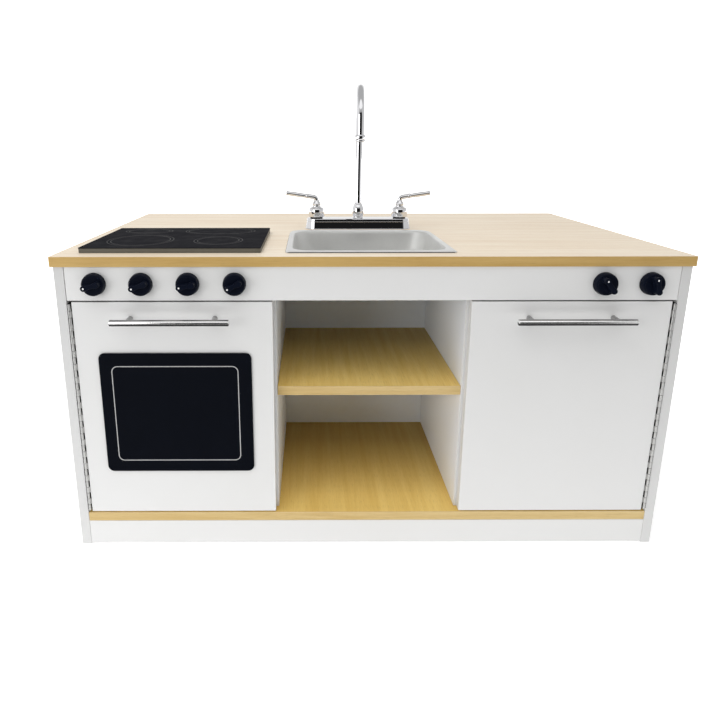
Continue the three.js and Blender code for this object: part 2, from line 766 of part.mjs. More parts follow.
function spout() {
  const seat = group(0, TAP_Y, HEIGHT);
  seat.rotation.z = SPOUT_TURN;
  const socket = DECK_TOP - HEIGHT + 1.5;
  const aeratorTop = SPOUT_END + AERATOR_HEIGHT;
  const bendHeight = SPOUT_TOP - SPOUT_RADIUS - SPOUT_BEND;
  const neck = new THREE.ExtrudeGeometry(
    new THREE.Shape().absarc(0, 0, SPOUT_RADIUS, 0, 2 * Math.PI),
    {
      steps: 34,
      curveSegments: 6,
      bevelEnabled: false,
      extrudePath: new Gooseneck(socket, bendHeight, SPOUT_BEND, aeratorTop - 6),
    },
  );
  add('spout', neck, CHROME, seat);
  const bore = SPOUT_RADIUS + 0.4;
  const aerator = turned([
    [0, 2],
    [8.6, 2],
    [8.6, 0],
    [10.6, 0],
    [11.3, 1.2],
    [11.3, AERATOR_HEIGHT - 2],
    [10.4, AERATOR_HEIGHT],
    [bore, AERATOR_HEIGHT],
    [bore, 8.6],
    [0, 8.6],
  ], 16);
  add('aerator', aerator, CHROME, seat).position.set(0, -2 * SPOUT_BEND, SPOUT_END);
  const base = DECK_TOP - HEIGHT + FIT;
  const nut = turned([
    [bore, base],
    [12, base],
    [12.4, base + 2.5],
    [14.3, base + 8],
    [14.2, base + 20],
    [12, base + 28],
    [9.6, base + 35],
    [bore, base + 36],
    [bore, base],
  ], 18);
  add('spout_nut', nut, CHROME).position.set(0, TAP_Y, HEIGHT);
}

// ---- Assembly ----

worktop();
sidePanels();
dividers();
innerBoards();
controlPanel();
knobs();
doors();
hob();
sinkBowl();
drain();
deckPlate();
taps();
spout();

export default kitchen;
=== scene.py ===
"""The looks of a play kitchen island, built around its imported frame.

Shapes are drawn in millimetres in the frame's axes: +X right, +Y back, +Z up.
"""

import math

import bmesh
import bpy
from mathutils import Matrix, Vector


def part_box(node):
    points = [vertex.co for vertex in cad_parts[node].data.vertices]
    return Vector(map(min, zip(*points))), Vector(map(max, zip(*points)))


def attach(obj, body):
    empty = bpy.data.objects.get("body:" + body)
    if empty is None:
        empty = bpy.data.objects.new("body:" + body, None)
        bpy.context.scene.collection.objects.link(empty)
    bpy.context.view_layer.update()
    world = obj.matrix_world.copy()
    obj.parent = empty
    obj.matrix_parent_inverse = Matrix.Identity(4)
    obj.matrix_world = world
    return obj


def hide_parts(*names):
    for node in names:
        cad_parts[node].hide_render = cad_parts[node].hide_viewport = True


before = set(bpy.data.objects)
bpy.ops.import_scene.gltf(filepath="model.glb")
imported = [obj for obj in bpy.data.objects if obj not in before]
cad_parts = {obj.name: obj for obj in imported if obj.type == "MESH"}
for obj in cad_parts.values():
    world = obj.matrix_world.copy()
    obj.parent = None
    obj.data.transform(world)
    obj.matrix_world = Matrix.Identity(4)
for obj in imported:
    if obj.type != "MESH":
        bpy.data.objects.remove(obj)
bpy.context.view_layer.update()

MM = 0.001
HALF_TURN = math.pi
QUARTER_TURN = math.pi / 2
# Each turns a shape's own +Z towards the front, or towards the back.
FACING_FRONT = Matrix.Rotation(QUARTER_TURN, 4, "X")
FACING_BACK = Matrix.Rotation(-QUARTER_TURN, 4, "X")


def span(node):
    """A CAD node's lowest and highest corners, in millimetres."""
    low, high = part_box(node)
    return low / MM, high / MM


WORKTOP_LOW, WORKTOP_HIGH = span("worktop")
FRONT = WORKTOP_LOW.y
TOP = WORKTOP_HIGH.z
FACE = span("oven_door")[0].y


# ---- Camera ----


def camera():
    """The photograph's place, direction and framing."""
    pitch, yaw, roll = 0.2319, 0.0029, -0.0006
    forward = Vector(
        (
            math.sin(yaw) * math.cos(pitch),
            math.cos(yaw) * math.cos(pitch),
            -math.sin(pitch),
        )
    )
    right = Vector((math.cos(yaw), -math.sin(yaw), 0))
    turn = Matrix((right, right.cross(forward), -forward)).transposed()
    data = bpy.data.cameras.new("camera")
    data.sensor_width = 36
    data.lens = 27.9
    data.shift_x = 0.0663
    data.shift_y = -0.1167
    data.clip_end = 100
    made = bpy.data.objects.new("camera", data)
    rolled = turn.to_4x4() @ Matrix.Rotation(roll, 4, "Z")
    made.matrix_world = Matrix.Translation((-0.1161, -1.321, 0.8135)) @ rolled
    bpy.context.scene.collection.objects.link(made)
    bpy.context.scene.camera = made


camera()


# ---- Shape helpers ----


def at(x, y, z):
    return Matrix.Translation((x, y, z))


def circle(radius, steps, x=0.0, y=0.0):
    turn = 2 * math.pi / steps
    return [
        (x + radius * math.cos(i * turn), y + radius * math.sin(i * turn))
        for i in range(steps)
    ]


def rounded(left, right, low, high, radius, steps=8):
    """A rectangle with round corners."""
    corners = (
        (right - radius, low + radius, -90),
        (right - radius, high - radius, 0),
        (left + radius, high - radius, 90),
        (left + radius, low + radius, 180),
    )
    points = []
    for x, y, start in corners:
        for i in range(steps + 1):
            angle = math.radians(start + 90 * i / steps)
            points.append((x + radius * math.cos(angle), y + radius * math.sin(angle)))
    return points


def rectangle(left, right, low, high):
    return [(left, low), (right, low), (right, high), (left, high)]


def cross(arm, half):
    """The outline of a screw's cross recess."""
    return [
        (arm, -half), (arm, half), (half, half), (half, arm), (-half, arm), (-half, half),
        (-arm, half), (-arm, -half), (-half, -half), (-half, -arm), (half, -arm), (half, -half),
    ]


def mark(bm, start, mat):
    bm.faces.ensure_lookup_table()
    for face in bm.faces[start:]:
        face.material_index = mat


def prism(bm, loops, low, high, mat=0, place=Matrix()):
    """A plate with an outline and any holes, from low to high along its own Z."""
    start, edges = len(bm.faces), []
    for loop in loops:
        ring = [bm.verts.new(place @ Vector((x, y, low))) for x, y in loop]
        edges += [bm.edges.new(pair) for pair in zip(ring, ring[1:] + ring[:1])]
    if len(loops) == 1:
        faces = [bm.faces.new(ring)]
    else:
        filled = bmesh.ops.triangle_fill(bm, use_beauty=True, edges=edges)["geom"]
        faces = [item for item in filled if isinstance(item, bmesh.types.BMFace)]
    raised = bmesh.ops.extrude_face_region(bm, geom=faces, use_keep_orig=True)["geom"]
    corners = [item for item in raised if isinstance(item, bmesh.types.BMVert)]
    rise = place.to_3x3() @ Vector((0, 0, high - low))
    bmesh.ops.translate(bm, verts=corners, vec=rise)
    mark(bm, start, mat)


def skin(bm, rings, mat=0, closed=False):
    """Faces from each ring of points to the next. A ring of one point is a tip."""
    start = len(bm.faces)
    made = [[bm.verts.new(point) for point in ring] for ring in rings]
    pairs = list(zip(made, made[1:])) + ([(made[-1], made[0])] if closed else [])
    for one, other in pairs:
        count = max(len(one), len(other))
        for i in range(count):
            j = (i + 1) % count
            corners = (
                one[i % len(one)],
                one[j % len(one)],
                other[j % len(other)],
                other[i % len(other)],
            )
            corners = list(dict.fromkeys(corners))
            if len(corners) > 2:
                bm.faces.new(corners)
    mark(bm, start, mat)


def lathe(bm, profile, steps=48, mat=0, place=Matrix(), closed=False):
    """A turned piece about its own Z, from (radius, height) pairs."""
    rings = [
        [place @ Vector((x, y, height)) for x, y in circle(radius, steps if radius else 1)]
        for radius, height in profile
    ]
    skin(bm, rings, mat, closed)


def sweep(bm, path, radii, side, steps=32, mat=0, place=Matrix()):
    """A round bar along a flat path. side is the direction across the path's plane."""
    path = [Vector(point) for point in path]
    rings = [[place @ path[0]]]
    for i, (point, radius) in enumerate(zip(path, radii)):
        along = (path[min(i + 1, len(path) - 1)] - path[max(i - 1, 0)]).normalized()
        across = along.cross(side)
        ring = circle(radius, steps)
        rings.append([place @ (point + side * x + across * y) for x, y in ring])
    rings.append([place @ path[-1]])
    skin(bm, rings, mat)


def piece(node, bm, materials, body, bevel=0.0, worn=0, angle=35, subdivide=0):
    """Makes the object that stands for a CAD node, in metres, riding on its body.

    bevel is how far its edges are rounded, in millimetres, and worn is the material they get.
    angle is the sharpest turn, in degrees, that is still shaded as one smooth surface.
    """
    bmesh.ops.recalc_face_normals(bm, faces=bm.faces)
    bmesh.ops.scale(bm, vec=(MM, MM, MM), verts=bm.verts)
    mesh = bpy.data.meshes.new(f"{node}_look")
    bm.to_mesh(mesh)
    bm.free()
    for material in materials:
        mesh.materials.append(material)
    mesh.shade_smooth()
    made = bpy.data.objects.new(mesh.name, mesh)
    bpy.context.scene.collection.objects.link(made)
    if bevel:
        rounding = made.modifiers.new("edges", "BEVEL")
        rounding.width = bevel * MM
        rounding.segments = 2
        rounding.limit_method = "ANGLE"
        rounding.angle_limit = math.radians(angle)
        rounding.harden_normals = True
        rounding.material = worn if worn else -1
    elif not subdivide:
        mesh.set_sharp_from_angle(angle=math.radians(angle))
    if subdivide:
        softer = made.modifiers.new("smooth", "SUBSURF")
        softer.levels = softer.render_levels = subdivide
    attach(made, body)
    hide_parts(node)
    return made


def screw_head(bm, radius, height, place, mat, recess):
    """A flat round head with a cross recess, standing on its own Z = 0."""
    # The floor under the cross gets the recess material, painted shade that darkens the cross.
    prism(bm, [circle(radius, 20)], 0, height * 0.4, recess, place)
    loops = [circle(radius, 20), cross(radius * 0.55, radius * 0.13)]
    prism(bm, loops, height * 0.4, height, mat, place)


# ---- Material helpers ----


class Nodes:
    """A node tree, and the ways of adding to it."""

    def __init__(self, tree):
        self.tree = tree

    def feed(self, socket, value):
        if isinstance(value, bpy.types.NodeSocket):
            self.tree.links.new(value, socket)
        else:
            socket.default_value = value

    def node(self, kind, inputs=None, **options):
        made = self.tree.nodes.new(kind)
        for key, value in options.items():
            setattr(made, key, value)
        for key, value in (inputs or {}).items():
            self.feed(made.inputs[key], value)
        return made

    def maths(self, operation, one, other, third=0.0):
        inputs = {0: one, 1: other, 2: third}
        return self.node("ShaderNodeMath", inputs, operation=operation).outputs[0]


class Finish(Nodes):
    """A material whose colour, roughness and relief come from patterns in the frame's space."""

    def __init__(self, name, **sockets):
        self.material = bpy.data.materials.new(name)
        self.material.use_nodes = True
        super().__init__(self.material.node_tree)
        self.shader = self.tree.nodes["Principled BSDF"]
        self.place = self.node("ShaderNodeTexCoord").outputs["Object"]
        self.set(sockets)

    def set(self, sockets):
        for key, value in sockets.items():
            self.feed(self.shader.inputs[key.replace("_", " ")], value)

    def stretched(self, stretch):
        inputs = {"Vector": self.place, "Scale": stretch}
        return self.node("ShaderNodeMapping", inputs).outputs["Vector"]

    def noise(self, scale, detail=3.0, rough=0.5, stretch=(1, 1, 1), bend=0.0):
        inputs = {
            "Vector": self.stretched(stretch),
            "Scale": scale,
            "Detail": detail,
            "Roughness": rough,
            "Distortion": bend,
        }
        return self.node("ShaderNodeTexNoise", inputs).outputs["Fac"]

    def rings(self, scale, stretch, bend):
        inputs = {
            "Vector": self.stretched(stretch),
            "Scale": scale,
            "Distortion": bend,
            "Detail": 3.0,
            "Detail Scale": 1.6,
        }
        made = self.node("ShaderNodeTexWave", inputs, wave_type="RINGS")
        made.rings_direction = "SPHERICAL"
        return made.outputs["Fac"]

    def levels(self, value, low, high, to_low=0.0, to_high=1.0):
        """value's stretch from low to high, taken to to_low and to_high."""
        inputs = {"Value": value, "From Min": low, "From Max": high}
        inputs.update({"To Min": to_low, "To Max": to_high})
        return self.node("ShaderNodeMapRange", inputs).outputs["Result"]

    def sum(self, one, other, share=1.0):
        return self.maths("MULTIPLY_ADD", other, share, one)

    def mix(self, factor, one, other, blend="MIX"):
        made = self.node("ShaderNodeMix", data_type="RGBA", blend_type=blend)
        for socket, value in zip((made.inputs[0], made.inputs[6], made.inputs[7]), (factor, one, other)):
            self.feed(socket, value)
        return made.outputs[2]

    def relief(self, height, depth, strength=1.0):
        """Raises the surface by height times depth, in millimetres."""
        inputs = {"Height": height, "Distance": depth * MM, "Strength": strength}
        bump = self.node("ShaderNodeBump", inputs)
        self.feed(self.shader.inputs["Normal"], bump.outputs["Normal"])


def grey(level, red=1.0, blue=1.0):
    return (level * red, level, level * blue, 1)


def oak(name, along, light, dark, roughness, specular, rear=1.0):
    """Oak-look laminate with its grain along one axis: figure, streaks and short dark pores.

    rear is how much of its tone is left deep inside the bay. It is painted shade, not a stain on
    the board: it deepens the shadow there, and it stays put when the lights change.
    """

    def stretch(amount):
        return [amount if i == along else 1 for i in range(3)]

    finish = Finish(name, Specular_IOR_Level=specular)
    figure = finish.rings(5.0, stretch(0.11), 4.5)
    streaks = finish.noise(60, 6, 0.6, stretch(0.05), 0.3)
    fine = finish.noise(520, 3, 0.6, stretch(0.03))
    pores = finish.levels(finish.noise(1500, 1, 0.5, stretch(0.035)), 0.60, 0.72)
    cloud = finish.noise(3, 2)
    tone = finish.sum(finish.levels(streaks, 0.3, 0.7, 0.1, 0.9), figure, 0.22)
    tone = finish.sum(tone, finish.levels(fine, 0.35, 0.65, -0.5, 0.5), 0.30)
    tone = finish.sum(tone, finish.levels(cloud, 0.3, 0.7, -0.5, 0.5), 0.25)
    colour = finish.mix(tone, dark, light)
    colour = finish.mix(finish.levels(pores, 0, 1, 0, 0.22), colour, grey(0.12, 1.7, 0.45))
    if rear < 1:
        depth = finish.node("ShaderNodeSeparateXYZ", {0: finish.place}).outputs["Y"]
        depth = finish.levels(depth, FRONT * MM + 0.06, FRONT * MM + 0.30)
        colour = finish.mix(depth, colour, finish.mix(1.0, colour, grey(rear), "MULTIPLY"))
    rough = finish.levels(streaks, 0.3, 0.7, roughness + 0.06, roughness - 0.05)
    finish.set({"Base_Color": colour, "Roughness": rough})
    finish.relief(finish.sum(fine, pores, -0.8), 0.05, 0.5)
    return finish.material


def laminate(name, level, roughness, worn=0.0, red=1.0, blue=1.0):
    """White laminate with a fine pebbled face. worn is how far its edges are rubbed dull."""
    finish = Finish(name)
    cloud = finish.noise(6, 3)
    pebble = finish.noise(1300, 2, 0.6)
    rubbed = finish.levels(finish.noise(45, 5, 0.7), 0.5, 0.75, 0, worn)
    colour = finish.mix(cloud, grey(level, red, blue), grey(level * 0.97, red, blue * 0.985))
    colour = finish.mix(rubbed, colour, grey(level * 0.72, 1.03, 0.93))
    rough = finish.levels(finish.noise(28, 3), 0.3, 0.7, roughness - 0.05, roughness + 0.06)
    finish.set({"Base_Color": colour, "Roughness": rough})
    finish.relief(pebble, 0.02, 0.35)
    return finish.material


def plastic(name, level, roughness, specular, red=1.0, blue=1.0, grain=900, depth=0.02, index=1.5):
    """Moulded or glossy plastic with faint handling marks."""
    finish = Finish(name, Specular_IOR_Level=specular, IOR=index)
    marks = finish.noise(24, 5, 0.65)
    colour = finish.mix(marks, grey(level, red, blue), grey(level * 1.5, red, blue))
    rough = finish.levels(marks, 0.3, 0.75, roughness * 0.7, roughness * 1.4)
    finish.set({"Base_Color": colour, "Roughness": rough})
    finish.relief(finish.noise(grain, 2), depth, 0.3)
    return finish.material


def metal(name, level, roughness, red=1.0, blue=1.0, along=None, depth=0.006, middle=None):
    """Metal with fine scratches, which run along one axis where it is brushed.

    middle is the height, in millimetres, of a bar's centre line. Dark bands are painted above and
    below it, where polished steel mirrors a dark room. The steel itself is one colour all over.
    """
    finish = Finish(name, Metallic=1.0)
    stretch = [0.012 if i == along else 1 for i in range(3)]
    lines = finish.noise(1600, 2, 0.6, stretch)
    haze = finish.noise(22, 4, 0.6)
    colour = finish.mix(haze, grey(level, red, blue), grey(level * 0.93, red, blue))
    if middle:
        height = finish.node("ShaderNodeSeparateXYZ", {0: finish.place}).outputs["Z"]
        under = finish.levels(height, (middle + 0.6) * MM, (middle - 0.8) * MM)
        over = finish.levels(height, (middle + 4.4) * MM, (middle + 5.2) * MM)
        colour = finish.mix(under, colour, grey(level * 0.03))
        colour = finish.mix(over, colour, grey(level * 0.35))
    rough = finish.levels(haze, 0.3, 0.7, roughness * 0.8, roughness * 1.2)
    rough = finish.sum(rough, lines, roughness * 0.2)
    finish.set({"Base_Color": colour, "Roughness": rough})
    finish.relief(lines, depth, 0.4)
    return finish.material


OAK_TOP = oak("oak_top", 0, (0.87, 0.76, 0.60, 1), (0.77, 0.62, 0.45, 1), 0.42, 0.5)
OAK_INNER = oak("oak_inner", 1, (0.92, 0.67, 0.22, 1), (0.80, 0.53, 0.14, 1), 0.45, 0.2, 0.5)
BAND_X = oak("oak_band_x", 0, (0.63, 0.43, 0.165, 1), (0.50, 0.31, 0.09, 1), 0.45, 0.2)
BAND_LOW = oak("oak_band_low", 0, (0.72, 0.55, 0.27, 1), (0.58, 0.40, 0.15, 1), 0.45, 0.2)
BAND_Y = oak("oak_band_y", 1, (0.63, 0.43, 0.165, 1), (0.50, 0.31, 0.09, 1), 0.45, 0.2)
OAK_WORN = oak("oak_worn", 0, (0.78, 0.60, 0.34, 1), (0.60, 0.42, 0.20, 1), 0.50, 0.3)
WHITE = laminate("white_face", 0.79, 0.40)
WHITE_BAND = laminate("white_band", 0.70, 0.34)
# Painted shade: the doors' upper edges are the white laminate made dark, for the shadow in the gap above
# them.
DOOR_TOP_SHADE = laminate("door_top_painted_shade", 0.30, 0.45)
# Painted light: the dividers are the white laminate made brighter and cooler, lifting the shade inside
# the open bay.
BAY_WHITE_LIT = laminate("bay_face_painted_light", 0.92, 0.40, 0.0, 0.96, 1.07)
WHITE_WORN = laminate("white_worn", 0.76, 0.50, 0.5)
PANEL = laminate("panel_face", 0.82, 0.40)
# Painted light: the back panel's face towards the bay is the white laminate made brighter and cooler,
# lifting the shade at the back of the bay. Its rear face is plain white.
BACKING_LIT = laminate("backing_face_painted_light", 0.92, 0.60, 0.1, 0.95, 1.07)
GLASS = plastic("window_gloss", 0.0025, 0.06, 0.03, 0.7, 2.0, 300, 0.003)
HOB_TOP = plastic("hob_gloss", 0.012, 0.40, 0.01, 1.0, 1.2, 300, 0.004, 1.12)
HOB_EDGE = plastic("hob_edge", 0.095, 0.55, 0.4, 1.05, 0.82)
PRINT = plastic("printed_line", 0.42, 0.40, 0.3)
# Painted highlight: light grey on the oven window's top edge, for the light that its edge catches.
WINDOW_TOP_HIGHLIGHT = plastic("window_top_painted_highlight", 0.26, 0.30, 0.4)
FAINT_PRINT = plastic("faint_print", 0.055, 0.50, 0.02)
KNOB = plastic("knob_plastic", 0.005, 0.30, 0.06, 0.7, 2.2, 1100, 0.03)
DOT = plastic("knob_dot", 0.72, 0.40, 0.4)
RUBBER = plastic("black_washer", 0.012, 0.60, 0.3)
CATCH = plastic("catch_plastic", 0.62, 0.45, 0.4, 1.0, 0.95)
SATIN = metal("sink_satin", 0.86, 0.54, 1.0, 0.98, 0, 0.010)
RIM = metal("sink_rim", 0.98, 0.42, 1.0, 0.99, 0)
# Painted shade: near-black steel round the sink rim's outer edge, for the dark line of shadow under the
# rim.
RIM_EDGE_SHADE = metal("sink_rim_edge_painted_shade", 0.18, 0.25)
BAR_MIDDLE = sum(corner.z for corner in span("oven_handle_bar")) / 2
BAR_STEEL = metal("bar_steel", 0.97, 0.22, 1.0, 0.99, 0, 0.008, BAR_MIDDLE)
# Painted reflection: the handle posts are the bar's steel made much darker, for the dark room they
# mirror.
POST_STEEL_PAINTED_DARK = metal("post_steel_painted_dark", 0.40, 0.26)
DRAIN_STEEL = metal("drain_steel", 0.62, 0.26, 1.0, 0.98)
CHROME = metal("chrome_plate", 0.85, 0.05, 1.0, 1.02, None, 0.001)
ZINC = metal("zinc_plate", 0.52, 0.30, 1.0, 0.98, None, 0.01)
# Painted shade: near-black metal for the floors of the screws' cross recesses and the frame side of each
# hinge knuckle.
PAINTED_SHADE_METAL = metal("painted_shade_metal", 0.05, 0.55)
# Painted shade: the hinge sheets are made near black, for the shade of the gap that the hinge sits in.
LEAF_SHADE = metal("hinge_leaf", 0.06, 0.50)


# ---- Boards ----


def board(node, materials, body="cabinet", bevel=0.8, short=0.0):
    """A flat board, in up to five materials.

    They are for its broad faces, its edge bands and its rubbed arrises, then for its upper edge and
    its rear face where those differ. short is how far each of its ends stops from its neighbour.
    """
    low, high = span(node)
    bm = bmesh.new()
    prism(bm, [rectangle(low.x + short, high.x - short, low.y, high.y)], low.z, high.z)
    size = high - low
    thin = min(range(3), key=lambda i: size[i])
    bm.normal_update()
    for face in bm.faces:
        face.material_index = 0 if abs(face.normal[thin]) > 0.5 else 1
        if len(materials) > 3 and face.normal.z > 0.5:
            face.material_index = 3
        if len(materials) > 4 and face.normal.y > 0.5:
            face.material_index = 4
    return piece(node, bm, materials, body, bevel, worn=2)


def worktop():
    low, high = WORKTOP_LOW, WORKTOP_HIGH
    half, front, back, corner = 158.5, FRONT + 49, FRONT + 303, 30  # the hole for the sink
    loops = [rounded(low.x, high.x, low.y, high.y, 3, 5), rounded(-half, half, front, back, corner)]
    bm = bmesh.new()
    prism(bm, loops, low.z, high.z)
    bm.normal_update()
    for face in bm.faces:
        if abs(face.normal.z) < 0.5:
            face.material_index = 1 if abs(face.normal.y) > abs(face.normal.x) else 3
    piece("worktop", bm, [OAK_TOP, BAND_X, OAK_WORN, BAND_Y], "cabinet", 1.0, worn=2)


def boards():
    whites = [WHITE, WHITE_BAND, WHITE_WORN]
    for side in ("left", "right"):
        board(f"side_panel_{side}", whites)
        # The dividers get painted light, a brighter copy of the white laminate.
        board(f"divider_{side}", [BAY_WHITE_LIT, WHITE_BAND, WHITE_WORN])
    board("plinth", whites)
    board("control_panel", [PANEL, WHITE_BAND, WHITE_WORN], short=0.7)
    # The back panel's face towards the bay gets painted light; its rear face is plain white.
    board("back_panel", [BACKING_LIT, BACKING_LIT, WHITE_WORN, BACKING_LIT, WHITE])
    for node in ("bottom_panel", "bay_shelf"):
        board(node, [OAK_INNER, BAND_LOW, OAK_WORN])
    for owner in ("oven", "cupboard"):
        # Each door's upper edge gets painted shade, a dark band for the shadow in the gap above it.
        board(f"{owner}_door", [*whites, DOOR_TOP_SHADE], f"{owner}_door", 1.0)


worktop()
boards()


# ---- Oven window and hob ----


def oven_window():
    low, high = span("oven_window")
    middle = (low + high) / 2
    half_x, half_z = (high.x - low.x) / 2, (high.z - low.z) / 2
    bm = bmesh.new()
    place = at(middle.x, high.y, middle.z) @ FACING_FRONT
    thick = high.y - low.y
    prism(bm, [rounded(-half_x, half_x, -half_z, half_z, 13, 10)], 0, thick, 0, place)
    bm.normal_update()
    # The window's top edge gets a painted highlight.
    for face in bm.faces:
        face.material_index = 1 if face.normal.z > 0.9 else 0
    piece("oven_window", bm, [GLASS, WINDOW_TOP_HIGHLIGHT], "oven_door", 0.7)
    bm = bmesh.new()
    left, right, bottom, top = -123.7, 121.3, -102.4, 99.6
    line, corner = 1.6, 12
    outer = rounded(left, right, bottom, top, corner, 8)
    inner = rounded(left + line, right - line, bottom + line, top - line, corner - line, 8)
    prism(bm, [outer, inner], thick - 0.2, thick + 0.12, 0, place)
    made = piece("oven_window", bm, [PRINT], "oven_door")
    made.name = "oven_window_outline"


def oval(x, y, half_x, half_y, steps=72):
    return [(x + half_x * px, y + half_y * py) for px, py in circle(1, steps)]


def hob():
    low, high = span("hob_plate")
    sheet, corner = 1.4, 4
    bm = bmesh.new()
    outline = rounded(low.x + 0.4, high.x - 0.4, low.y + 0.4, high.y - 0.4, corner, 6)
    prism(bm, [outline], low.z, high.z - sheet, 1)
    prism(bm, [rounded(low.x, high.x, low.y, high.y, corner, 6)], high.z - sheet, high.z, 0)
    piece("hob_plate", bm, [HOB_TOP, HOB_EDGE], "cabinet", 0.4)
    bm = bmesh.new()
    line = 1.5
    rings = (
        (-463.8, -190.0, 66.6, 66.6, 7),
        (-304.6, -193.7, 49.9, 49.9, 7),
        (-480.0, -68.0, 53.0, 32.0, 7),
        (-319.5, -68.0, 78.5, 44.0, 7),
    )
    for x, y, half_x, half_y, step in rings:
        for inset in (0, step):
            outer = oval(x, y, half_x - inset, half_y - inset)
            inner = oval(x, y, half_x - inset - line, half_y - inset - line)
            prism(bm, [outer, inner], high.z - 0.2, high.z + 0.1)
    made = piece("hob_plate", bm, [FAINT_PRINT], "cabinet")
    made.name = "hob_plate_rings"


oven_window()
hob()


# ---- Knobs ----

# Each knob's angle, counted from +X towards +Z.
KNOB_TURNS = (195, 199, 190, 206, 126, 102)


def waisted(end, reach, waist, steps=10):
    """The outline of a bar with round ends and hollowed sides."""
    points = []
    for sign in (1, -1):
        for i in range(steps + 1):
            angle = HALF_TURN * (i / steps - 0.5) + (0 if sign > 0 else HALF_TURN)
            points.append((sign * reach + end * math.cos(angle), end * math.sin(angle)))
        for i in range(1, steps):
            t = i / steps
            x = sign * reach * (1 - 2 * t)
            y = sign * (end - (end - waist) * math.sin(HALF_TURN * t))
            points.append((x, y))
    return points


def knob(number, degrees):
    node = f"knob_{number}"
    low, high = span(f"knob_spindle_{number}")
    centre = (low + high) / 2
    place = at(centre.x, FACE - 1, centre.z) @ FACING_FRONT
    place = place @ Matrix.Rotation(math.radians(degrees), 4, "Z")
    bm = bmesh.new()
    profile = [
        (0, 2), (17, 2), (17, 0), (21.2, 0), (21.7, 0.8), (21.8, 2.2), (21.3, 3.2), (21.3, 4.0),
        (21.6, 4.8), (21.0, 10.2), (20.3, 11.8), (18.8, 12.8), (17.6, 13.0), (17.2, 12.6),
        (16.6, 12.6), (16.2, 13.0), (0, 13.0),
    ]
    lathe(bm, profile, 64, 0, place)
    piece(node, bm, [KNOB], node, angle=25)
    bm = bmesh.new()
    prism(bm, [waisted(5.6, 11.6, 3.6)], 11, 27, 0, place)
    grip = piece(node, bm, [KNOB], node, 0.9)
    grip.name = f"{node}_grip"
    bm = bmesh.new()
    dot = [(0, 26.6), (1.6, 26.6), (1.6, 27.1), (1.4, 27.25), (0, 27.3)]
    lathe(bm, dot, 24, 0, place @ at(11.4, 0, 0))
    mark_dot = piece(node, bm, [DOT], node)
    mark_dot.name = f"{node}_dot"


for number, degrees in enumerate(KNOB_TURNS, 1):
    knob(number, degrees)


# ---- Door handles ----

HEAD_RADIUS, HEAD_HEIGHT, SHANK_RADIUS = 4, 2.4, 1.8  # the screws that hold a handle


def handle(owner):
    body = f"{owner}_door"
    low, high = span(f"{owner}_handle_bar")
    centre = (low + high) / 2
    half = (high.x - low.x) / 2
    radius = (high.z - low.z) / 2
    along_x = at(*centre) @ Matrix.Rotation(QUARTER_TURN, 4, "Y")
    profile = [(0, -half), (radius - 1.2, -half), (radius - 0.4, -half + 0.3), (radius, -half + 1.2)]
    profile += [(r, -h) for r, h in reversed(profile)]
    bm = bmesh.new()
    lathe(bm, profile, 40, 0, along_x)
    piece(f"{owner}_handle_bar", bm, [BAR_STEEL], body, angle=50)
    for side in ("left", "right"):
        node = f"{owner}_handle_post_{side}"
        low, high = span(node)
        x, z = (low.x + high.x) / 2, (low.z + high.z) / 2
        reach = high.y - centre.y
        bm = bmesh.new()
        post = [
            (0, 0), (4.5, 0), (4.9, 0.4), (4.5, 1.0), (4.4, reach - 7), (4.9, reach - 4.6),
            (4.9, reach), (0, reach),
        ]
        lathe(bm, post, 28, 0, at(x, high.y, z) @ FACING_FRONT)
        # The posts' steel is painted dark, standing for the dark room that it mirrors.
        piece(node, bm, [POST_STEEL_PAINTED_DARK], body)
        node = f"{owner}_handle_screw_{side}"
        low, high = span(node)
        bm = bmesh.new()
        back = at(x, high.y - HEAD_HEIGHT, z) @ FACING_BACK
        screw_head(bm, HEAD_RADIUS, HEAD_HEIGHT, back, 0, 1)
        prism(bm, [circle(SHANK_RADIUS, 12)], HEAD_HEIGHT - (high.y - low.y), 0, 0, back)
        piece(node, bm, [ZINC, PAINTED_SHADE_METAL], body, 0.25)


for owner in ("oven", "cupboard"):
    handle(owner)


# ---- Piano hinges ----

KNUCKLE = 13.3
KNUCKLE_GAP = 0.35
KNUCKLE_RADIUS, KNUCKLE_BORE = 2.5, 1.5
SHEET = 1.0
TURN_BACK = 1.4  # pin's axis to the back of the sheet's turn
SHEET_START = 4.2  # pin's axis to where the whole sheet starts


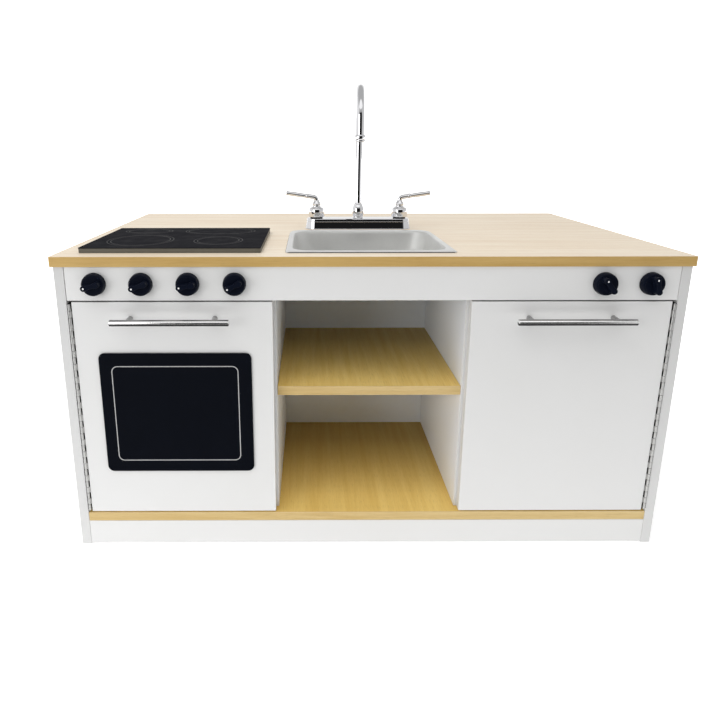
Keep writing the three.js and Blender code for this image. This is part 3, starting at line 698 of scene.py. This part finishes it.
def hinge_leaf(owner, kind, body):
    """A sheet beside its board with every second knuckle, and countersunk screws."""
    node = f"{owner}_hinge_{kind}_leaf"
    low, high = span(node)
    pin_low, pin_high = span(f"{owner}_hinge_pin")
    pin = (pin_low + pin_high) / 2
    outward = 1 if (low.x + high.x) / 2 > pin.x else -1
    sheet_x = high.x if outward > 0 else low.x
    # The sheet touches its own board, and the knuckles are round the pin.
    outer, inner = sorted((sheet_x, sheet_x - outward * SHEET))
    bm = bmesh.new()
    bottom, length = low.z, high.z - low.z
    count = round(length / KNUCKLE)
    # The sheet is painted shade, near-black metal.
    prism(bm, [rectangle(outer, inner, pin.y + SHEET_START, high.y)], bottom, bottom + length, 2)
    first = 0 if kind == "frame" else 1
    for i in range(first, count, 2):
        start = bottom + i * length / count + KNUCKLE_GAP
        end = bottom + (i + 1) * length / count - KNUCKLE_GAP
        place = at(pin.x, pin.y, 0)
        barrel = [circle(KNUCKLE_RADIUS, 20), circle(KNUCKLE_BORE, 12)]
        prism(bm, barrel, start, end, 0, place)
        # The sheet's turn from the board's edge to the knuckle. On the frame's side it gets painted
        # shade, a near-black strip beside the knuckle.
        turn = sorted((sheet_x, pin.x + outward * 1.8))
        turn = rectangle(*turn, pin.y + TURN_BACK - SHEET, pin.y + TURN_BACK)
        prism(bm, [turn], start, end, 1 - first)
        # The strip behind the knuckle gets the same painted shade.
        strip = rectangle(outer, inner, pin.y + TURN_BACK, pin.y + SHEET_START + 0.2)
        prism(bm, [strip], start, end, 2)
    screws = 8
    facing_in = Matrix.Rotation(-outward * QUARTER_TURN, 4, "Y")
    face = at(sheet_x - outward * SHEET, 0, 0) @ facing_in
    for i in range(screws):
        height = bottom + (i + 0.5) * length / screws
        place = at(0, high.y - 6.5, height) @ face
        screw_head(bm, 3.2, 0.5, place, 0, 1)
    piece(node, bm, [ZINC, PAINTED_SHADE_METAL, LEAF_SHADE], body)


for owner in ("oven", "cupboard"):
    hinge_leaf(owner, "frame", "cabinet")
    hinge_leaf(owner, "door", f"{owner}_door")


# ---- Catches ----


def door_catch(owner):
    low, high = span(f"{owner}_magnetic_catch")
    bm = bmesh.new()
    prism(bm, [rectangle(low.x, high.x, low.y + 0.8, high.y)], low.z + 7, high.z - 7)
    side = low.x if abs(low.x) < abs(high.x) else high.x
    ear = sorted((side, side + (2 if side == low.x else -2)))
    prism(bm, [rectangle(*ear, low.y + 3, high.y - 3)], low.z, high.z)
    middle = (low.x + high.x) / 2
    for offset in (-3.2, 3.2):
        left = middle + offset - 0.6
        prism(bm, [rectangle(left, left + 1.2, low.y, low.y + 4)], low.z + 9, high.z - 9, 1)
    piece(f"{owner}_magnetic_catch", bm, [CATCH, ZINC], "cabinet", 0.5)
    node = f"{owner}_strike_plate"
    low, high = span(node)
    place = at((low.x + high.x) / 2, low.y, (low.z + high.z) / 2)
    place = place @ FACING_BACK
    half_x, half_z = (high.x - low.x) / 2, (high.z - low.z) / 2
    bm = bmesh.new()
    prism(bm, [rounded(-half_x, half_x, -half_z, half_z, 3, 5)], 0, 1.1, 0, place)
    screw_head(bm, 3, 0.4, place @ at(0, 0, 1.1), 0, 1)
    piece(node, bm, [ZINC, PAINTED_SHADE_METAL], f"{owner}_door", 0.3)


for owner in ("oven", "cupboard"):
    door_catch(owner)


# ---- Sink ----


SINK_STEPS = 6  # points to each corner of the rim, the bowl and the drain


def sink_ring(half, front, back, corner, z, front_corner=None, steps=SINK_STEPS):
    """A rounded rectangle at height z, measured back from the worktop's front edge."""
    wide = rounded(-half, half, FRONT + front, FRONT + back, corner, steps)
    tight = rounded(-half, half, FRONT + front, FRONT + back, front_corner or corner, steps)
    count = steps + 1
    outline = tight[:count] + wide[count : 3 * count] + tight[3 * count :]
    return [Vector((x, y, z)) for x, y in outline]


BOWL_HALF, BOWL_FRONT, BOWL_BACK = 153.5, 54, 298
BOWL_MIDDLE = FRONT + (BOWL_FRONT + BOWL_BACK) / 2
BOWL_FLOOR = TOP - 80
RIM_CORNER_BACK, RIM_CORNER_FRONT = 36, 8.5


def bowl_ring(inset, corner, z):
    return sink_ring(BOWL_HALF - inset, BOWL_FRONT + inset, BOWL_BACK - inset, corner, z)


def round_ring(radius, z, steps=SINK_STEPS):
    """A circle with as many points as a sink ring, starting at the same corner."""
    points = []
    for corner in range(4):
        for i in range(steps + 1):
            share = (i + 0.5) / (steps + 1)
            angle = math.radians(-90 + 90 * (corner + share))
            points.append(Vector((radius * math.cos(angle), BOWL_MIDDLE + radius * math.sin(angle), z)))
    return points


def sink():
    low, high = span("sink_bowl")
    half, front, back = high.x, low.y - FRONT, high.y - FRONT
    sheet, rim = 1.2, high.z

    def ledge(inset, z):
        wide, tight = RIM_CORNER_BACK - inset, RIM_CORNER_FRONT - inset
        return sink_ring(half - inset, front + inset, back - inset, wide, z, tight)

    outside = [
        bowl_ring(-1.2, 37, rim - 1.8),
        ledge(2.6, rim - 1.5),
        ledge(1.4, TOP + 0.5),
        ledge(0.7, TOP + 0.3),
    ]
    inside = [
        ledge(0, TOP + 0.3),
        ledge(0.1, TOP + 0.9),
        ledge(1.0, rim - 0.7),
        ledge(2.4, rim - 0.1),
        ledge(3.6, rim),
        ledge(7.0, rim - 0.5),
        bowl_ring(-4.0, 40, rim - 0.5),
        bowl_ring(-1.4, 38, rim - 0.4),
        bowl_ring(0, 36, rim - 1.0),
        bowl_ring(1.4, 35, rim - 2.4),
        bowl_ring(2.2, 36, rim - 5),
        bowl_ring(5, 41, rim - 30),
        bowl_ring(9, 46, BOWL_FLOOR + 26),
        bowl_ring(12, 48, BOWL_FLOOR + 12),
        bowl_ring(18, 47, BOWL_FLOOR + 4.5),
        bowl_ring(28, 43, BOWL_FLOOR + 1.6),
        bowl_ring(48, 34, BOWL_FLOOR + 0.6),
        round_ring(60, BOWL_FLOOR),
        round_ring(57, BOWL_FLOOR - 0.6),
        round_ring(44.5, BOWL_FLOOR - 1),
        round_ring(44, BOWL_FLOOR - 1.3),
    ]
    under = [
        round_ring(44, BOWL_FLOOR - 1 - sheet),
        round_ring(58, BOWL_FLOOR - 1 - sheet),
        bowl_ring(48, 34, BOWL_FLOOR + 0.2 - sheet),
        bowl_ring(27, 44, BOWL_FLOOR + 1.0 - sheet),
        bowl_ring(16.5, 48, BOWL_FLOOR + 3.6 - sheet),
        bowl_ring(10.6, 49, BOWL_FLOOR + 11.2),
        bowl_ring(7.6, 47, BOWL_FLOOR + 25.5),
        bowl_ring(3.8, 42, rim - 30),
        bowl_ring(1.0, 36, rim - 5),
        bowl_ring(-0.2, 37, rim - 2.6),
    ]
    bm = bmesh.new()
    skin(bm, inside + under + outside, closed=True)
    # Faces on the rim's top get the rim's steel, and those round its outer edge get painted shade.
    for face in bm.faces:
        middle = face.calc_center_median()
        off_rim = min(middle.y - low.y, high.y - middle.y, half - abs(middle.x))
        if middle.z > rim - 0.8:
            face.material_index = 2
        elif off_rim < 0.8 and middle.z > TOP:
            face.material_index = 1
    piece("sink_bowl", bm, [SATIN, RIM_EDGE_SHADE, RIM], "cabinet", subdivide=1)


def drain():
    place = at(0, BOWL_MIDDLE, BOWL_FLOOR)
    cup = 26
    bm = bmesh.new()
    profile = [
        (37.0, -cup + 2), (41.0, -cup + 7), (41.6, -1.0), (43.0, 0.2), (52.6, 1.9), (54.2, 1.8),
        (55, 1.0), (55, 0.3), (43, 0.3), (43, -cup + 6), (37, -cup), (0, -cup), (0, -cup + 2),
    ]
    lathe(bm, profile, 64, 0, place)
    holes = [circle(2.6, 12)]
    for count, radius in ((8, 12), (14, 22), (20, 31)):
        holes += [circle(2.2, 10, *point) for point in circle(radius, count)]
    prism(bm, [circle(38.6, 64), *holes], -12.5, -11.5, 0, place)
    lathe(bm, [(38.6, -12.5), (41.2, -2.0), (40.2, -2.0), (37.8, -11.5), (38.6, -12.5)], 64, 0, place)
    stem = [(0, -11.5), (3, -11.5), (3, -4), (6.5, -3.2), (7.5, -1.2), (6.5, 0.6), (0, 1.2)]
    lathe(bm, stem, 28, 0, place)
    piece("drain_strainer", bm, [DRAIN_STEEL], "cabinet", angle=40)


sink()
drain()


# ---- Tap ----

TAP = span("tap_deck_plate")
TAP_Y = (TAP[0].y + TAP[1].y) / 2
TAP_HALF = 101.6
SPOUT_PLACE = at(0, TAP_Y, 0) @ Matrix.Rotation(math.radians(-4), 4, "Z")
SPOUT_BEND = 70.0  # radius of the gooseneck's centre line


def deck_ring(inset, z, steps=24):
    """The deck plate's outline at height z: two half circles and the straight sides between."""
    radius = 28.4 - inset
    points = []
    for sign, middle in ((1, 0), (-1, HALF_TURN)):
        for i in range(steps + 1):
            angle = middle + HALF_TURN * (i / steps - 0.5)
            x = sign * TAP_HALF + radius * math.cos(angle)
            points.append(Vector((x, TAP_Y + radius * math.sin(angle), z)))
    return points


def deck_plate():
    low, high = TAP
    profile = [
        (0, 0), (0, 0.5), (0.3, 0.8), (0.8, 1.0), (1.1, 1.4), (4.2, 17.2), (3.8, 17.6),
        (3.9, 18.5), (4.5, 18.9), (5.5, 23.8), (6.0, 24.6), (7.0, 25.0), (13.0, 25.0),
    ]
    rings = [deck_ring(inset, low.z + height) for inset, height in profile]
    centre = [Vector((0, TAP_Y, high.z))]
    floor = [Vector((0, TAP_Y, low.z))]
    bm = bmesh.new()
    skin(bm, [floor, *rings, centre])
    piece("tap_deck_plate", bm, [CHROME], "cabinet", angle=11)


def bell(side, sign):
    """The bell-shaped skirt, its collars, and the lever with its elbow, rings and tip."""
    node = f"tap_lever_{side}"
    turn = Matrix.Rotation(0 if sign > 0 else HALF_TURN, 4, "Z")
    place = at(sign * TAP_HALF, TAP_Y, TOP + 1) @ turn
    bm = bmesh.new()
    skirt = [
        (3.9, 54), (3.9, 45), (14, 44), (16.0, 40), (16.9, 28.4), (17.2, 27.8), (19.2, 27.8),
        (19.8, 28.6), (18.4, 43.6), (18.1, 45.6), (17.3, 47.6), (15.8, 49.2), (13.6, 50.2),
        (11.4, 50.7), (10.6, 51.6), (10.0, 57.0), (10.6, 57.8), (10.7, 59.0), (10.2, 59.9),
        (9.2, 62.0), (7.6, 64.4), (6.4, 66.0), (6.0, 67.6), (0, 68.0),
    ]
    lathe(bm, skirt, 56, 0, place)
    path, radii = [], []
    for height, radius in ((62, 6.2), (64, 6.0), (66, 5.8)):
        path.append((0, 0, height))
        radii.append(radius)
    bend, rise, start, steps = 9.6, math.radians(8), 66.0, 10
    for i in range(1, steps + 1):
        angle = (QUARTER_TURN - rise) * i / steps
        path.append((bend * (1 - math.cos(angle)), 0, start + bend * math.sin(angle)))
        radii.append(5.6)
    elbow = Vector(path[-1])
    ahead = Vector((math.cos(rise), 0, math.sin(rise)))
    grip = (
        (6, 5.5), (11.8, 5.4), (12.4, 6.1), (13.6, 6.4), (15.6, 6.4), (16.8, 6.0), (17.4, 5.4),
        (18.6, 5.1), (22, 5.0), (34, 5.4), (44, 5.5), (56, 5.3), (61.0, 5.1), (61.8, 5.4),
        (63.0, 5.6), (64.6, 5.5), (65.8, 4.6), (66.6, 3.1), (67.0, 1.3),
    )
    for distance, radius in grip:
        path.append(elbow + ahead * distance)
        radii.append(radius)
    sweep(bm, path, radii, Vector((0, 1, 0)), 32, 0, place)
    piece(node, bm, [CHROME], node, angle=50)


def valve(side, sign):
    """What shows of the valve: the washer under the bell, and the threaded shank below."""
    node = f"tap_valve_{side}"
    low, high = span(node)
    place = at(sign * TAP_HALF, TAP_Y, 0)
    washer = TAP[1].z + 0.3
    bm = bmesh.new()
    top, step = washer + 2.4, high.z - 12
    ring = [
        (0, washer), (14.6, washer), (15.2, washer + 0.6), (15.0, washer + 2.0), (13, top), (0, top),
    ]
    lathe(bm, ring, 40, 1, place)
    stem = [(0, top), (9, top), (9, step), (3.6, step), (3.6, high.z), (0, high.z)]
    lathe(bm, stem, 32, 0, place)
    thread = [(0, low.z)]
    pitch = 1.8
    count = int((TOP - 1 - low.z) / pitch)
    for i in range(count):
        thread += [(9.2, low.z + i * pitch), (10, low.z + (i + 0.5) * pitch)]
    thread += [(9.2, washer), (0, washer)]
    lathe(bm, thread, 32, 0, place)
    piece(node, bm, [ZINC, RUBBER], "cabinet", angle=25)


def spout_nut():
    place = at(0, TAP_Y, 0)
    base = span("spout_nut")[0].z
    profile = [
        (8.1, 0), (12.6, 0), (13.0, 0.7), (12.6, 1.6), (12.2, 3.0), (13.2, 6), (14.1, 10), (14.3, 14),
        (14.2, 19), (13.6, 23.6), (12.2, 27.6), (10.6, 31.2), (9.6, 33.8), (9.2, 35.4), (8.8, 36),
        (8.1, 36), (8.1, 0),
    ]
    bm = bmesh.new()
    lathe(bm, [(radius, base + height) for radius, height in profile], 56, 0, place)
    piece("spout_nut", bm, [CHROME], "cabinet", angle=45)


def spout():
    low, high = span("spout")
    radius, bend = 8.0, SPOUT_BEND
    shoulder = high.z - radius - bend
    tip = span("aerator")[1].z - 6
    path = [(0, 0, low.z), (0, 0, low.z + 60), (0, 0, shoulder - 60)]
    steps = 48
    for i in range(steps + 1):
        angle = HALF_TURN * i / steps
        path.append((0, -bend * (1 - math.cos(angle)), shoulder + bend * math.sin(angle)))
    path += [(0, -2 * bend, shoulder - 8), (0, -2 * bend, tip)]
    bm = bmesh.new()
    sweep(bm, path, [radius] * len(path), Vector((1, 0, 0)), 40, 0, SPOUT_PLACE)
    piece("spout", bm, [CHROME], "spout", angle=50)


def aerator():
    place = SPOUT_PLACE @ at(0, -2 * SPOUT_BEND, span("aerator")[0].z)
    profile = [
        (0, 2), (8.6, 2), (8.6, 0), (10.4, 0), (11.0, 0.6), (11.3, 1.6), (11.3, 4.2), (10.9, 4.8),
        (11.3, 5.4), (11.3, 12.2), (11.0, 13.4), (10.0, 14.6), (9.2, 15.0), (8.1, 15.0), (8.1, 10),
        (0, 10),
    ]
    bm = bmesh.new()
    lathe(bm, profile, 48, 0, place)
    prism(bm, [circle(8.5, 40), *[circle(0.8, 8, *p) for p in circle(5, 12)]], 0.8, 1.6, 1, place)
    piece("aerator", bm, [CHROME, RUBBER], "spout", angle=40)


deck_plate()
for side, sign in (("left", -1), ("right", 1)):
    bell(side, sign)
    valve(side, sign)
spout_nut()
spout()
aerator()


# ---- CAD nodes that stay as they are ----


def carried_over():
    zinc = ["tap_nut_left", "tap_nut_right", "drain_nut"]
    zinc += [f"knob_spindle_{number}" for number in range(1, 7)]
    zinc += [f"{owner}_hinge_pin" for owner in ("oven", "cupboard")]
    for node in zinc:
        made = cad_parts[node]
        made.data.materials.clear()
        made.data.materials.append(ZINC)


carried_over()


# ---- Floor, lights and background ----

# Each wall's start and end along its axis of the direction looked in, and its brightness.
LEFT_WALL = (-0.60, -0.74, 0.36)
RIGHT_WALL = (0.54, 0.68, 0.16)
BACK_WALL = (0.40, 0.95, 0.44)
CEILING = 0.48
HIGH_FRONT = 0.60  # added to the ceiling by the high window
DARK_FRONT = 0.012
PAPER = 1.3
# Where each fades in along one axis of the direction: from none to all of it.
WALL_TOP = (0.60, 0.48)
FRONT_SIDES = (-0.62, -0.76)
FRONT_TOP = (0.46, 0.34)
WINDOW_SIDES = (-0.30, -0.45)
WINDOW_LOW = (0.52, 0.60)
FLOOR_REACH = 30000
FLOOR_FRONT = -1600
FLOOR_TOP = -0.5
FLOOR_THICK = 7.5


def floor():
    """A pale floor that ends in front of the object, so that the metal mirrors a dark front."""
    bm = bmesh.new()
    outline = rectangle(-FLOOR_REACH, FLOOR_REACH, FLOOR_FRONT, FLOOR_REACH)
    prism(bm, [outline], FLOOR_TOP - FLOOR_THICK, FLOOR_TOP)
    bmesh.ops.scale(bm, vec=(MM, MM, MM), verts=bm.verts)
    mesh = bpy.data.meshes.new("floor")
    bm.to_mesh(mesh)
    bm.free()
    pale = Finish("pale_floor", Roughness=0.9, Specular_IOR_Level=0.1)
    pale.set({"Base_Color": pale.mix(pale.noise(2, 2), grey(0.93), grey(0.95))})
    # The far floor is as white as the paper behind it.
    offset = pale.node("ShaderNodeVectorMath", {0: pale.place, 1: (0, -1.3, 0)}, operation="DISTANCE")
    glow = pale.levels(offset.outputs["Value"], 1.7, 2.9, 0.36, 1.0)
    pale.set({"Emission_Color": grey(1.0), "Emission_Strength": glow})
    mesh.materials.append(pale.material)
    made = bpy.data.objects.new("floor", mesh)
    bpy.context.scene.collection.objects.link(made)


def softbox(name, place, target, size, power, mirrored=True):
    """A square lamp aimed at target. One that isn't mirrored lights surfaces but isn't seen in them."""
    data = bpy.data.lights.new(name, "AREA")
    data.shape, data.size, data.energy = "SQUARE", size, power
    made = bpy.data.objects.new(name, data)
    made.location = place
    made.rotation_euler = (Vector(target) - Vector(place)).to_track_quat("-Z", "Y").to_euler()
    made.visible_glossy = mirrored
    bpy.context.scene.collection.objects.link(made)


def room_brightness(room):
    """How bright the room is in each direction: walls, ceiling, high window and dark front."""
    place = room.node("ShaderNodeTexCoord").outputs["Generated"]
    axes = room.node("ShaderNodeSeparateXYZ", {0: place}).outputs

    def ramp(axis, start, end):
        """0 before start and 1 past end, along one axis of the direction looked in."""
        inputs = {"Value": axes[axis], "From Min": start, "From Max": end}
        made = room.node("ShaderNodeMapRange", inputs, interpolation_type="SMOOTHSTEP")
        return made.outputs["Result"]

    walls = 0.0
    for axis, (start, end, level) in (("X", LEFT_WALL), ("X", RIGHT_WALL), ("Y", BACK_WALL)):
        walls = room.maths("MULTIPLY_ADD", ramp(axis, start, end), level, walls)
    walls = room.maths("MULTIPLY", walls, ramp("Z", *WALL_TOP))
    front = room.maths("MULTIPLY", ramp("Y", *FRONT_SIDES), ramp("Z", *FRONT_TOP))
    window = room.maths("MULTIPLY", ramp("Y", *WINDOW_SIDES), ramp("Z", *WINDOW_LOW))
    above = room.maths("MULTIPLY_ADD", front, DARK_FRONT - CEILING, CEILING)
    above = room.maths("MULTIPLY_ADD", window, HIGH_FRONT, above)
    return room.maths("ADD", walls, above)


def surroundings():
    """The room lights the object and is mirrored in it, and the camera sees white paper instead."""
    world = bpy.data.worlds.new("studio")
    world.use_nodes = True
    bpy.context.scene.world = world
    room = Nodes(world.node_tree)
    lit = world.node_tree.nodes["Background"]
    room.feed(lit.inputs["Color"], grey(1.0))
    room.feed(lit.inputs["Strength"], room_brightness(room))
    paper = room.node("ShaderNodeBackground", {"Color": grey(1.0), "Strength": PAPER})
    seen = room.node("ShaderNodeLightPath").outputs["Is Camera Ray"]
    shown = room.node("ShaderNodeMixShader", {0: seen, 1: lit.outputs[0], 2: paper.outputs[0]})
    room.feed(world.node_tree.nodes["World Output"].inputs["Surface"], shown.outputs[0])


floor()
softbox("key", (-2.5, -2.7, 1.0), (0, 0, 0.3), 1.8, 29)
softbox("overhead", (-0.7, -0.6, 3.1), (0, 0, 0.3), 2.5, 37, mirrored=False)
surroundings()
bpy.context.scene.view_settings.view_transform = "Standard"

bpy.context.view_layer.update()
